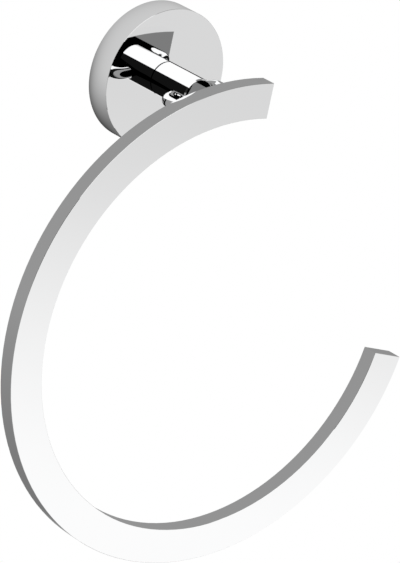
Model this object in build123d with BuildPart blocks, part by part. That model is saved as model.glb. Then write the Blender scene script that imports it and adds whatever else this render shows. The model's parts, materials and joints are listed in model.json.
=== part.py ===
from build123d import *
import os

os.makedirs("parts", exist_ok=True)

# The wall is the plane y = 0 and everything stands out of it towards -Y.
# The origin is the centre of the flange's back. All sizes are in millimetres.

# Wall flange, a round cup with a plain front
flange_diameter = 50.0
flange_depth = 10.0
flange_front_wall = 2.5
flange_rim_wall = 3.5
flange_edge_chamfer = 0.08
flange_mouth_chamfer = 0.4

# Wall plate inside the flange
plate_thickness = 5.0
plate_clearance = 0.2
plate_edge_chamfer = 0.6
plate_centre_hole_diameter = 15.0
wall_hole_diameter = 4.5
wall_hole_sink_diameter = 8.6
wall_hole_spacing = 28.0

# Set screw in the flange's underside
grub_diameter = 3.0
grub_axis_from_wall = 3.0
grub_recess = 0.5
grub_seat_depth = 0.8
grub_tip_chamfer = 0.4
grub_socket_flats = 1.5
grub_socket_depth = 1.6

# Post
post_diameter = 12.3
post_length = 18.8
post_end_chamfer = 0.4
post_foot_chamfer = 0.3

# Screw and washer that hold the post from behind
post_screw_diameter = 5.0
post_screw_reach = 7.0
post_screw_head_diameter = 9.0
post_screw_head_height = 2.7
post_screw_head_chamfer = 1.0
post_screw_socket_flats = 3.0
post_screw_socket_depth = 1.6
post_thread_runout = 1.5
washer_diameter = 10.0
washer_thickness = 1.0

# Clearances, each a gap on one side
screw_clearance = 0.25
thread_clearance = 0.1
rod_clearance = 0.05

# Bridge between the post and the ring, a round rod bent to a staple
bridge_rod_diameter = 4.2
bridge_bend_radius = 3.95
bridge_bend_clearance = 0.325
bridge_set_back = 6.2
bridge_side_shift = 0.2
bridge_drop = 0.3

# Open ring, a flat bar bent to an arc
ring_standoff = 6.5
ring_outer_diameter = 177.4
ring_bar_width = 12.6
ring_bar_thickness = 6.1
ring_edge_chamfer = 0.08
ring_side_shift = 0.6
ring_upper_end_angle = 75.5
ring_opening_angle = 100.0

# Places that follow from the sizes above, as distances from the wall
flange_inner_face = flange_depth - flange_front_wall
washer_back = flange_inner_face - washer_thickness
post_screw_head_back = washer_back - post_screw_head_height
post_end = flange_depth + post_length
bridge_axis_from_wall = post_end - bridge_set_back
ring_back = post_end + ring_standoff

# Radii that follow from the sizes above
flange_radius = flange_diameter / 2
cavity_radius = flange_radius - flange_rim_wall
plate_radius = cavity_radius - plate_clearance
grub_seat_radius = plate_radius - grub_seat_depth
grub_radius = grub_diameter / 2
post_screw_radius = post_screw_diameter / 2
ring_outer_radius = ring_outer_diameter / 2
ring_inner_radius = ring_outer_radius - ring_bar_width
ring_mean_radius = ring_outer_radius - ring_bar_width / 2

# The set screw's axis runs straight up through the flange's underside
grub_plane = Plane(
    origin=(0, -grub_axis_from_wall, -flange_radius), x_dir=(1, 0, 0), z_dir=(0, 0, 1)
)

# The bridge's rod lies in a level plane with y away from the wall. The hole for it runs
# across the post, its bends start clear of the post, and the middle of the ring's bar is
# level with it.
bridge_leg_spacing = post_diameter + 2 * (bridge_bend_clearance + bridge_bend_radius)
bridge_plane = Plane(
    origin=(bridge_side_shift, 0, -bridge_drop), x_dir=(1, 0, 0), z_dir=(0, 0, -1)
)
bridge_hole_plane = Plane(
    origin=(0, -bridge_axis_from_wall, -bridge_drop), x_dir=(0, -1, 0), z_dir=(1, 0, 0)
)
ring_plane = Plane(
    origin=(ring_side_shift, -ring_back, -bridge_drop - ring_mean_radius),
    x_dir=(1, 0, 0),
    z_dir=(0, -1, 0),
)
ring_arc_angle = 360 - ring_opening_angle


def from_wall(distance):
    """A plane parallel to the wall, whose normal points away from it."""
    return Plane.XZ.offset(distance)


# Wall flange
with BuildPart() as wall_flange:
    with BuildSketch(from_wall(0)):
        Circle(flange_radius)
    extrude(amount=flange_depth)
    chamfer(wall_flange.edges().group_by(Axis.Y)[0], flange_edge_chamfer)
    with BuildSketch(from_wall(0)):
        Circle(cavity_radius)
    extrude(amount=flange_inner_face, mode=Mode.SUBTRACT)
    cavity_mouth = wall_flange.edges().group_by(Axis.Y)[-1].sort_by(SortBy.RADIUS)[0]
    chamfer(cavity_mouth, flange_mouth_chamfer)
    with BuildSketch(from_wall(flange_inner_face)):
        Circle(post_screw_radius + screw_clearance)
    extrude(amount=flange_front_wall, mode=Mode.SUBTRACT)
    with BuildSketch(grub_plane):
        Circle(grub_radius + thread_clearance)
    extrude(amount=flange_radius - grub_seat_radius, mode=Mode.SUBTRACT)
wall_flange.part.label = "wall_flange"
export_step(wall_flange.part, "parts/wall_flange.step")

# Wall plate, with a flat in its underside for the set screw
with BuildPart() as wall_plate:
    with BuildSketch(from_wall(0)):
        Circle(plate_radius)
        Circle(plate_centre_hole_diameter / 2, mode=Mode.SUBTRACT)
    extrude(amount=plate_thickness)
    front_rim = wall_plate.edges().group_by(Axis.Y)[0].sort_by(SortBy.RADIUS)[-1]
    chamfer(front_rim, plate_edge_chamfer)
    with BuildSketch(from_wall(0)):
        with Locations((0, -grub_seat_radius)):
            Rectangle(flange_diameter, flange_radius, align=(Align.CENTER, Align.MAX))
    extrude(amount=plate_thickness, mode=Mode.SUBTRACT)
    with Locations(from_wall(plate_thickness).location):
        with GridLocations(wall_hole_spacing, 0, 2, 1):
            CounterSinkHole(wall_hole_diameter / 2, wall_hole_sink_diameter / 2)
wall_plate.part.label = "wall_plate"
export_step(wall_plate.part, "parts/wall_plate.step")

# Set screw, with a hexagon socket at its outer end and its tip on the plate's flat
with BuildPart() as grub_screw:
    with BuildSketch(grub_plane.offset(grub_recess)):
        Circle(grub_radius)
    extrude(amount=flange_radius - grub_seat_radius - grub_recess)
    chamfer(grub_screw.edges().group_by(Axis.Z)[-1], grub_tip_chamfer)
    with BuildSketch(grub_plane.offset(grub_recess)):
        RegularPolygon(grub_socket_flats / 2, 6, major_radius=False)
    extrude(amount=grub_socket_depth, mode=Mode.SUBTRACT)
grub_screw.part.label = "grub_screw"
export_step(grub_screw.part, "parts/grub_screw.step")

# Post, tapped at its foot and drilled across near its end for the bridge
with BuildPart() as post:
    with BuildSketch(from_wall(flange_depth)):
        Circle(post_diameter / 2)
    extrude(amount=post_length)
    chamfer(post.edges().group_by(Axis.Y)[0], post_end_chamfer)
    chamfer(post.edges().group_by(Axis.Y)[-1], post_foot_chamfer)
    with BuildSketch(from_wall(flange_depth)):
        Circle(post_screw_radius + thread_clearance)
    extrude(amount=post_screw_reach + post_thread_runout, mode=Mode.SUBTRACT)
    with BuildSketch(bridge_hole_plane):
        Circle(bridge_rod_diameter / 2 + rod_clearance)
    extrude(amount=post_diameter, both=True, mode=Mode.SUBTRACT)
post.part.label = "post"
export_step(post.part, "parts/post.step")

# Washer under the post screw's head
with BuildPart() as post_washer:
    with BuildSketch(from_wall(washer_back)):
        Circle(washer_diameter / 2)
        Circle(post_screw_radius + screw_clearance, mode=Mode.SUBTRACT)
    extrude(amount=washer_thickness)
post_washer.part.label = "post_washer"
export_step(post_washer.part, "parts/post_washer.step")

# Post screw, with a bevelled head and a hexagon socket on the wall's side
with BuildPart() as post_screw:
    with BuildSketch(from_wall(post_screw_head_back)):
        Circle(post_screw_head_diameter / 2)
    extrude(amount=post_screw_head_height)
    chamfer(post_screw.edges().group_by(Axis.Y)[-1], post_screw_head_chamfer)
    with BuildSketch(from_wall(washer_back)):
        Circle(post_screw_radius)
    extrude(amount=flange_depth + post_screw_reach - washer_back)
    with BuildSketch(from_wall(post_screw_head_back)):
        RegularPolygon(post_screw_socket_flats / 2, 6, major_radius=False)
    extrude(amount=post_screw_socket_depth, mode=Mode.SUBTRACT)
post_screw.part.label = "post_screw"
export_step(post_screw.part, "parts/post_screw.step")

# Bridge, a rod through the post whose legs turn away from the wall and end on the ring's back
with BuildPart() as ring_bridge:
    with BuildLine(bridge_plane) as bridge_path:
        FilletPolyline(
            (-bridge_leg_spacing / 2, ring_back),
            (-bridge_leg_spacing / 2, bridge_axis_from_wall),
            (bridge_leg_spacing / 2, bridge_axis_from_wall),
            (bridge_leg_spacing / 2, ring_back),
            radius=bridge_bend_radius,
        )
    with BuildSketch(Plane(origin=bridge_path.line @ 0, z_dir=bridge_path.line % 0)):
        Circle(bridge_rod_diameter / 2)
    sweep()
ring_bridge.part.label = "ring_bridge"
export_step(ring_bridge.part, "parts/ring_bridge.step")

# Open ring, cut along its radii at both ends
with BuildPart() as towel_ring:
    with BuildSketch(ring_plane):
        with BuildLine():
            outer = CenterArc((0, 0), ring_outer_radius, ring_upper_end_angle, ring_arc_angle)
            inner = CenterArc((0, 0), ring_inner_radius, ring_upper_end_angle, ring_arc_angle)
            Line(outer @ 0, inner @ 0)
            Line(outer @ 1, inner @ 1)
        make_face()
    extrude(amount=ring_bar_thickness)
    chamfer(towel_ring.edges(), ring_edge_chamfer)
towel_ring.part.label = "towel_ring"
export_step(towel_ring.part, "parts/towel_ring.step")
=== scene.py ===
import json
import math

import bpy
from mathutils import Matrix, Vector

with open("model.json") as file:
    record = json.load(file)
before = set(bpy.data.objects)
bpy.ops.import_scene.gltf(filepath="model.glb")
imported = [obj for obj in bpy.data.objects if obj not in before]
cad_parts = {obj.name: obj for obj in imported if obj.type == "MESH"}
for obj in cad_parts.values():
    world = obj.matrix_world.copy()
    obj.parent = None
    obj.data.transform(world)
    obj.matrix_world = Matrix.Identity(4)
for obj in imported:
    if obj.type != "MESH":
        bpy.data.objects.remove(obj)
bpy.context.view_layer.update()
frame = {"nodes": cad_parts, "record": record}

MM = 0.001
WHITE = (1, 1, 1, 1)

# Camera, from the photograph's viewing angle
PHOTO_HEIGHT_PX = 563
FOCAL_LENGTH_PX = 4223.2
SENSOR_HEIGHT_MM = 36.0
CAMERA_AZIMUTH = math.radians(-37.14)
CAMERA_ELEVATION = math.radians(26.26)
CAMERA_DISTANCE = 1460.8 * MM
CAMERA_TARGET = Vector((-0.2, -30.0, -69.4)) * MM
CAMERA_CLIP_START = 50.0 * MM

# Reflections that are followed after the first one
EXTRA_REFLECTIONS = 1

# Below, a ramp from 0 to 1 is (start, end), and any other is (start, end, value before, value after).

# Finishes. Tints run between two colours, and the scales of noise are per metre.
CHROME_TINTS = ((0.965, 0.967, 0.970, 1), (0.985, 0.986, 0.988, 1))
CHROME_TINT_SCALE = 35.0
CHROME_TINT_DETAIL = 2.0
CHROME_HAZE_SCALE = 90.0
CHROME_ROUGHNESS = (0.35, 0.75, 0.005, 0.014)
ZINC_TINTS = ((0.50, 0.52, 0.54, 1), (0.70, 0.71, 0.72, 1))
ZINC_SPANGLE_SCALE = 420.0
ZINC_SPANGLE_DETAIL = 4.0
ZINC_ROUGHNESS = (0.2, 0.8, 0.32, 0.50)
ZINC_GRAIN_SCALE = 1800.0
ZINC_GRAIN_STRENGTH = 0.08
ZINC_GRAIN_HEIGHT = 0.1 * MM
STEEL_TINTS = ((0.46, 0.45, 0.44, 1), (0.62, 0.61, 0.60, 1))
STEEL_GRAIN_SCALE = 1200.0
STEEL_ROUGHNESS = (0.2, 0.8, 0.22, 0.38)

# Floor, with its sizes in metres
FLOOR_DROP = 6.0
FLOOR_HALF_SIZE = 30.0
FLOOR_TONE = 1.0

# Cards that only reflections show, with their sizes in millimetres and degrees
CARD_STEPS = 72
FLANGE_RADIUS = 25.0
RING_CENTRE_X = 0.6
RING_CENTRE_Z = -82.7
WALL_CARD_RADII = (FLANGE_RADIUS, 3000.0)
WALL_CARD_GAP = 0.5
FLAG_FROM_WALL = 42.2
FLAG_RADII = (88.9, 94.0)
FLAG_ANGLES = (72.0, 90.0)
FLAG_TONE = 0.705
FLAG_RAY_DEPTH = (1.4, 1.6)

# Light on the wall card close to the flange, which short rays from the chrome see
FLANGE_LIGHT_ANGLE = 115
FLANGE_LIGHT_TONE = (-0.42, 0.72, 0.20, 0.615)
CONTACT_SHADE_ANGLE = 85
CONTACT_SHADE_DEPTH = (0.0, 0.9, 0.80, 0.25)
CONTACT_SHADE_REACH = 2.8 * MM
FLANGE_LIGHT_EDGE = (60 * MM, 66 * MM)
FLANGE_LIGHT_RAYS = (34 * MM, 37 * MM)

# Light on the wall card for long rays, such as the ring's sides send, and for the ring's back
HEIGHT_SLOPE = (0.25, 0, 1.0)
RING_LIGHT_TONE = 0.300
RING_LIGHT_LOW_TONE = (-200 * MM, -75 * MM, 0.165, 0.305)
RING_LIGHT_LOW_EDGE = (98 * MM, 104 * MM)
RING_BACK_TONE = (-200 * MM, 0.0, 0.42, 0.72)
RING_BACK_RAYS = (42 * MM, 47 * MM)
FLANGE_SHADOW_CENTRE = Vector((40.0, WALL_CARD_GAP, -17.0)) * MM
FLANGE_SHADOW = (20 * MM, 34 * MM, 0.70, 1.0)

# Studio, by direction: x to the right, z up, and forward out of the wall
BEHIND_TONE = (-0.5, 0.4, 0.55, 0.90)
AHEAD_EDGE = (-0.05, 0.05)
AHEAD_TONE = (-0.6, 0.0, 0.62, 0.26)
AHEAD_UPPER_LIFT = (0.1, 0.5, 0.0, 0.30)
DIM_LEFT_EDGES = {"x": (-0.15, -0.35), "z": (0.10, 0.25), "forward": (0.78, 0.72)}
DIM_LEFT_TONE = 0.02
DIM_TOP_EDGES = {"z": (0.45, 0.60), "forward": (0.52, 0.46)}
DIM_TOP_TONE = 0.20
SECOND_RAY_DEPTH = (2.4, 2.6)
SECOND_TONE = (0.84, 0.92, 0.006, 0.30)
LOW_PANEL_EDGES = {"forward": (0.0, 0.1), "x": (0.25, 0.35), "z": (-0.33, -0.38)}
LOW_PANEL_SLOPE = (-0.24, 0, -1)
LOW_PANEL_TONE = (0.266, 0.371, 0.700, 0.9925)
HIGH_PANEL_START = (0.44, 0.50)
HIGH_PANEL_END = (0.86, 0.80)
HIGH_PANEL_ANGLE = 62.9
HIGH_PANEL_SIDES = (0.476, 0.497)
HIGH_PANEL_TONE = 1.05


class Nodes:
    """Short names for the nodes that a material or the world is built from."""

    def __init__(self, tree):
        self.tree = tree

    def new(self, kind, **settings):
        node = self.tree.nodes.new(kind)
        for name, value in settings.items():
            setattr(node, name, value)
        return node

    def put(self, socket, value):
        """Links an output to a socket, or sets a plain number on it."""
        if isinstance(value, bpy.types.NodeSocket):
            self.tree.links.new(value, socket)
        else:
            socket.default_value = value

    def math(self, operation, a, b=0.0):
        node = self.new("ShaderNodeMath", operation=operation)
        self.put(node.inputs[0], a)
        self.put(node.inputs[1], b)
        return node.outputs[0]

    def dot(self, vector, direction):
        node = self.new("ShaderNodeVectorMath", operation="DOT_PRODUCT")
        self.put(node.inputs[0], vector)
        node.inputs[1].default_value = direction
        return node.outputs["Value"]

    def length(self, vector):
        node = self.new("ShaderNodeVectorMath", operation="LENGTH")
        self.put(node.inputs[0], vector)
        return node.outputs["Value"]

    def distance(self, vector, point):
        node = self.new("ShaderNodeVectorMath", operation="DISTANCE")
        self.put(node.inputs[0], vector)
        node.inputs[1].default_value = point
        return node.outputs["Value"]

    def towards(self, vector, length, angle):
        """How far a vector turns to an angle in the wall's plane, from -1 to 1."""
        angle = math.radians(angle)
        along = self.dot(vector, (math.cos(angle), 0, math.sin(angle)))
        return self.math("DIVIDE", along, length)

    def ramp(self, value, start, end, low=0.0, high=1.0, kind="SMOOTHSTEP"):
        """low up to start, high from end on, and a step between them, smooth unless kind says else."""
        node = self.new("ShaderNodeMapRange", interpolation_type=kind, clamp=True)
        self.put(node.inputs["Value"], value)
        node.inputs["From Min"].default_value = start
        node.inputs["From Max"].default_value = end
        node.inputs["To Min"].default_value = low
        node.inputs["To Max"].default_value = high
        return node.outputs["Result"]

    def all_of(self, *shares):
        share = shares[0]
        for other in shares[1:]:
            share = self.math("MULTIPLY", share, other)
        return share

    def inside(self, axes, edges):
        """How far a direction lies inside soft edges along its axes, from 0 to 1."""
        return self.all_of(*[self.ramp(axes[name], *edge) for name, edge in edges.items()])

    def mix(self, share, a, b):
        node = self.new("ShaderNodeMix", data_type="FLOAT")
        self.put(node.inputs["Factor"], share)
        self.put(node.inputs["A"], a)
        self.put(node.inputs["B"], b)
        return node.outputs["Result"]

    def tint(self, share, colours):
        node = self.new("ShaderNodeMix", data_type="RGBA")
        self.put(node.inputs["Factor"], share)
        node.inputs["A"].default_value = colours[0]
        node.inputs["B"].default_value = colours[1]
        return node.outputs["Result"]

    def noise(self, scale, detail=3.0):
        """Noise over the piece's own coordinates, from 0 to 1."""
        place = self.new("ShaderNodeTexCoord")
        texture = self.new("ShaderNodeTexNoise")
        self.put(texture.inputs["Vector"], place.outputs["Object"])
        texture.inputs["Scale"].default_value = scale
        texture.inputs["Detail"].default_value = detail
        return texture.outputs["Fac"]

    def mix_shaders(self, share, a, b):
        node = self.new("ShaderNodeMixShader")
        self.put(node.inputs[0], share)
        self.put(node.inputs[1], a)
        self.put(node.inputs[2], b)
        return node.outputs[0]


def metal(name):
    """A bare metal's material, its node helper and its surface."""
    material = bpy.data.materials.new(name)
    material.use_nodes = True
    surface = material.node_tree.nodes["Principled BSDF"]
    surface.inputs["Metallic"].default_value = 1.0
    return material, Nodes(material.node_tree), surface


def polished_chrome():
    """Mirror-bright plating with a faint haze where cloths and fingers have been."""
    material, nodes, surface = metal("polished_chrome")
    tint = nodes.noise(CHROME_TINT_SCALE, CHROME_TINT_DETAIL)
    haze = nodes.noise(CHROME_HAZE_SCALE)
    nodes.put(surface.inputs["Base Color"], nodes.tint(tint, CHROME_TINTS))
    nodes.put(surface.inputs["Roughness"], nodes.ramp(haze, *CHROME_ROUGHNESS))
    return material


def zinc_plate():
    """Dull zinc plating on pressed steel, with a faint spangle and a fine grain."""
    material, nodes, surface = metal("zinc_plate")
    spangle = nodes.noise(ZINC_SPANGLE_SCALE, ZINC_SPANGLE_DETAIL)
    nodes.put(surface.inputs["Base Color"], nodes.tint(spangle, ZINC_TINTS))
    nodes.put(surface.inputs["Roughness"], nodes.ramp(spangle, *ZINC_ROUGHNESS))
    bump = nodes.new("ShaderNodeBump")
    bump.inputs["Strength"].default_value = ZINC_GRAIN_STRENGTH
    bump.inputs["Distance"].default_value = ZINC_GRAIN_HEIGHT
    nodes.put(bump.inputs["Height"], nodes.noise(ZINC_GRAIN_SCALE))
    nodes.put(surface.inputs["Normal"], bump.outputs["Normal"])
    return material


def screw_steel():
    """Plain screw steel with a fine grain."""
    material, nodes, surface = metal("screw_steel")
    grain = nodes.noise(STEEL_GRAIN_SCALE)
    nodes.put(surface.inputs["Base Color"], nodes.tint(grain, STEEL_TINTS))
    nodes.put(surface.inputs["Roughness"], nodes.ramp(grain, *STEEL_ROUGHNESS))
    return material


def glow_card(name, tone=0.0):
    """A card's material, which takes no light or shadow, its node helper and its glow."""
    material = bpy.data.materials.new(name)
    material.use_nodes = True
    material.node_tree.nodes.clear()
    nodes = Nodes(material.node_tree)
    glow = nodes.new("ShaderNodeEmission")
    glow.inputs["Strength"].default_value = tone
    out = nodes.new("ShaderNodeOutputMaterial")
    nodes.put(out.inputs["Surface"], glow.outputs["Emission"])
    return material, nodes, glow


def flag_card():
    """A card that only a reflection of a reflection shows."""
    material, nodes, glow = glow_card("flag_card", FLAG_TONE)
    depth = nodes.new("ShaderNodeLightPath").outputs["Ray Depth"]
    clear = nodes.new("ShaderNodeBsdfTransparent")
    second = nodes.ramp(depth, *FLAG_RAY_DEPTH)
    surface = nodes.mix_shaders(second, clear.outputs[0], glow.outputs[0])
    nodes.put(material.node_tree.nodes["Material Output"].inputs["Surface"], surface)
    return material


def flange_light(nodes, place, distance):
    """Light round the flange from the upper left, with a contact shade at the flange's rim."""
    light = nodes.ramp(nodes.towards(place, distance, FLANGE_LIGHT_ANGLE), *FLANGE_LIGHT_TONE)
    depth = nodes.ramp(nodes.towards(place, distance, CONTACT_SHADE_ANGLE), *CONTACT_SHADE_DEPTH)
    past_rim = nodes.math("SUBTRACT", FLANGE_RADIUS * MM, distance)
    fade = nodes.math("EXPONENT", nodes.math("DIVIDE", past_rim, CONTACT_SHADE_REACH))
    shade = nodes.math("SUBTRACT", 1.0, nodes.math("MULTIPLY", depth, fade))
    return nodes.math("MULTIPLY", light, shade)


def ring_light(nodes, place, height):
    """Light for the ring's sides, less of it low down outside the ring and beside the flange."""
    ring_centre = Vector((RING_CENTRE_X, WALL_CARD_GAP, RING_CENTRE_Z)) * MM
    low_tone = nodes.ramp(height, *RING_LIGHT_LOW_TONE, kind="LINEAR")
    outside = nodes.ramp(nodes.distance(place, ring_centre), *RING_LIGHT_LOW_EDGE)
    tone = nodes.mix(outside, RING_LIGHT_TONE, low_tone)
    shadow = nodes.ramp(nodes.distance(place, FLANGE_SHADOW_CENTRE), *FLANGE_SHADOW)
    return nodes.math("MULTIPLY", tone, shadow)


def wall_card():
    """The wall as the chrome sees it. A ray's length tells which part of the chrome sees it."""
    material, nodes, glow = glow_card("wall_card")
    place = nodes.new("ShaderNodeTexCoord").outputs["Object"]
    distance = nodes.length(place)
    height = nodes.dot(place, HEIGHT_SLOPE)
    near = flange_light(nodes, place, distance)
    far = ring_light(nodes, place, height)
    ring_back = nodes.ramp(height, *RING_BACK_TONE)
    reach = nodes.new("ShaderNodeLightPath").outputs["Ray Length"]
    round_flange = nodes.mix(nodes.ramp(reach, *FLANGE_LIGHT_RAYS), near, far)
    round_ring = nodes.mix(nodes.ramp(reach, *RING_BACK_RAYS), ring_back, far)
    tone = nodes.mix(nodes.ramp(distance, *FLANGE_LIGHT_EDGE), round_flange, round_ring)
    nodes.put(glow.inputs["Strength"], tone)
    return material


def room_tone(nodes, axes, second):
    """The room without its panels: soft to first reflections and darker to second ones."""
    level = nodes.ramp(axes["z"], *AHEAD_TONE)
    soft = nodes.math("ADD", level, nodes.ramp(axes["z"], *AHEAD_UPPER_LIFT))
    soft = nodes.mix(nodes.inside(axes, DIM_LEFT_EDGES), soft, DIM_LEFT_TONE)
    soft = nodes.mix(nodes.inside(axes, DIM_TOP_EDGES), soft, DIM_TOP_TONE)
    dark = nodes.ramp(axes["forward"], *SECOND_TONE)
    ahead = nodes.mix(second, soft, dark)
    behind = nodes.ramp(axes["z"], *BEHIND_TONE)
    return nodes.mix(nodes.ramp(axes["forward"], *AHEAD_EDGE), behind, ahead)


def with_low_panel(nodes, direction, axes, tone):
    """Adds the pale panel at the lower right, which the fronts mirror at the photograph's angle."""
    panel_tone = nodes.ramp(nodes.dot(direction, LOW_PANEL_SLOPE), *LOW_PANEL_TONE)
    return nodes.mix(nodes.inside(axes, LOW_PANEL_EDGES), tone, panel_tone)


def with_high_panel(nodes, direction, axes, second, tone):
    """Adds the white panel at the upper right, which lights the post's top and the broken edges."""
    forward = axes["forward"]
    aside = nodes.math("SUBTRACT", 1.0, nodes.math("MULTIPLY", forward, forward))
    turn = nodes.towards(direction, nodes.math("SQRT", aside), HIGH_PANEL_ANGLE)
    panel = nodes.all_of(
        nodes.ramp(forward, *HIGH_PANEL_START),
        nodes.math("MAXIMUM", second, nodes.ramp(forward, *HIGH_PANEL_END)),
        nodes.ramp(turn, *HIGH_PANEL_SIDES),
    )
    return nodes.mix(panel, tone, HIGH_PANEL_TONE)


def build_world():
    """A white ground for the camera, and a soft studio with two panels for the chrome."""
    world = bpy.data.worlds.new("studio")
    world.use_nodes = True
    world.node_tree.nodes.clear()
    nodes = Nodes(world.node_tree)
    direction = nodes.new("ShaderNodeTexCoord").outputs["Generated"]
    axes = {
        "x": nodes.dot(direction, (1, 0, 0)),
        "z": nodes.dot(direction, (0, 0, 1)),
        "forward": nodes.dot(direction, (0, -1, 0)),
    }
    light_path = nodes.new("ShaderNodeLightPath")
    second = nodes.ramp(light_path.outputs["Ray Depth"], *SECOND_RAY_DEPTH)
    tone = room_tone(nodes, axes, second)
    tone = with_low_panel(nodes, direction, axes, tone)
    tone = with_high_panel(nodes, direction, axes, second, tone)
    studio = nodes.new("ShaderNodeBackground")
    studio.inputs["Color"].default_value = WHITE
    nodes.put(studio.inputs["Strength"], tone)
    ground = nodes.new("ShaderNodeBackground")
    ground.inputs["Color"].default_value = WHITE
    seen = light_path.outputs["Is Camera Ray"]
    both = nodes.mix_shaders(seen, studio.outputs[0], ground.outputs[0])
    out = nodes.new("ShaderNodeOutputWorld")
    nodes.put(out.inputs["Surface"], both)
    bpy.context.scene.world = world


def stage_mesh(name, corners, faces, material):
    mesh = bpy.data.meshes.new(name)
    mesh.from_pydata(corners, [], faces)
    mesh.materials.append(material)
    piece = bpy.data.objects.new(name, mesh)
    bpy.context.scene.collection.objects.link(piece)
    return piece


def arc_card(name, centre, radii, angles, from_wall, material):
    """A flat card parallel to the wall, between two radii and two angles, for reflections only."""
    corners = []
    for step in range(CARD_STEPS + 1):
        angle = math.radians(angles[0] + (angles[1] - angles[0]) * step / CARD_STEPS)
        for radius in radii:
            x = centre[0] + radius * math.cos(angle)
            z = centre[1] + radius * math.sin(angle)
            corners.append(Vector((x, -from_wall, z)) * MM)
    faces = [(2 * i, 2 * i + 1, 2 * i + 3, 2 * i + 2) for i in range(CARD_STEPS)]
    card = stage_mesh(name, corners, faces, material)
    card.visible_camera = False
    card.visible_diffuse = False
    card.visible_shadow = False


def build_floor():
    """The floor, which only the camera sees."""
    half = FLOOR_HALF_SIZE
    square = [(-half, -half), (half, -half), (half, half), (-half, half)]
    corners = [(x, y, -FLOOR_DROP) for x, y in square]
    material, _, _ = glow_card("white_card", FLOOR_TONE)
    floor = stage_mesh("floor", corners, [(0, 1, 2, 3)], material)
    floor.visible_glossy = False


def build_cards():
    """The wall, and a grey flag that tones the ring's top side as the flange mirrors it."""
    arc_card("wall_card", (0, 0), WALL_CARD_RADII, (0, 360), -WALL_CARD_GAP, wall_card())
    ring_centre = (RING_CENTRE_X, RING_CENTRE_Z)
    arc_card("flag", ring_centre, FLAG_RADII, FLAG_ANGLES, FLAG_FROM_WALL, flag_card())


def build_camera():
    back = Vector((
        math.sin(CAMERA_AZIMUTH) * math.cos(CAMERA_ELEVATION),
        -math.cos(CAMERA_AZIMUTH) * math.cos(CAMERA_ELEVATION),
        math.sin(CAMERA_ELEVATION),
    ))
    lens = bpy.data.cameras.new("camera")
    lens.sensor_fit = "VERTICAL"
    lens.sensor_height = SENSOR_HEIGHT_MM
    lens.lens = FOCAL_LENGTH_PX / PHOTO_HEIGHT_PX * SENSOR_HEIGHT_MM
    lens.clip_start = CAMERA_CLIP_START
    camera = bpy.data.objects.new("camera", lens)
    camera.location = CAMERA_TARGET + CAMERA_DISTANCE * back
    camera.rotation_euler = (-back).to_track_quat("-Z", "Y").to_euler()
    bpy.context.scene.collection.objects.link(camera)
    bpy.context.scene.camera = camera


def dress_nodes():
    """Gives each CAD node the finish of its slot in the record."""
    finishes = {
        "polished_chrome": polished_chrome(),
        "zinc_plate": zinc_plate(),
        "screw_steel": screw_steel(),
    }
    for subpart in frame["record"]["subparts"]:
        node = frame["nodes"][subpart["node"]]
        node.data.materials.clear()
        node.data.materials.append(finishes[subpart["material_slot"]])


def limit_reflections():
    """Leaves reflections deeper than the second one black, as in the photograph."""
    light_paths = bpy.context.scene.cycles
    light_paths.max_bounces = EXTRA_REFLECTIONS
    light_paths.glossy_bounces = EXTRA_REFLECTIONS


bpy.context.scene.view_settings.view_transform = "Standard"
limit_reflections()
dress_nodes()
build_floor()
build_cards()
build_world()
build_camera()
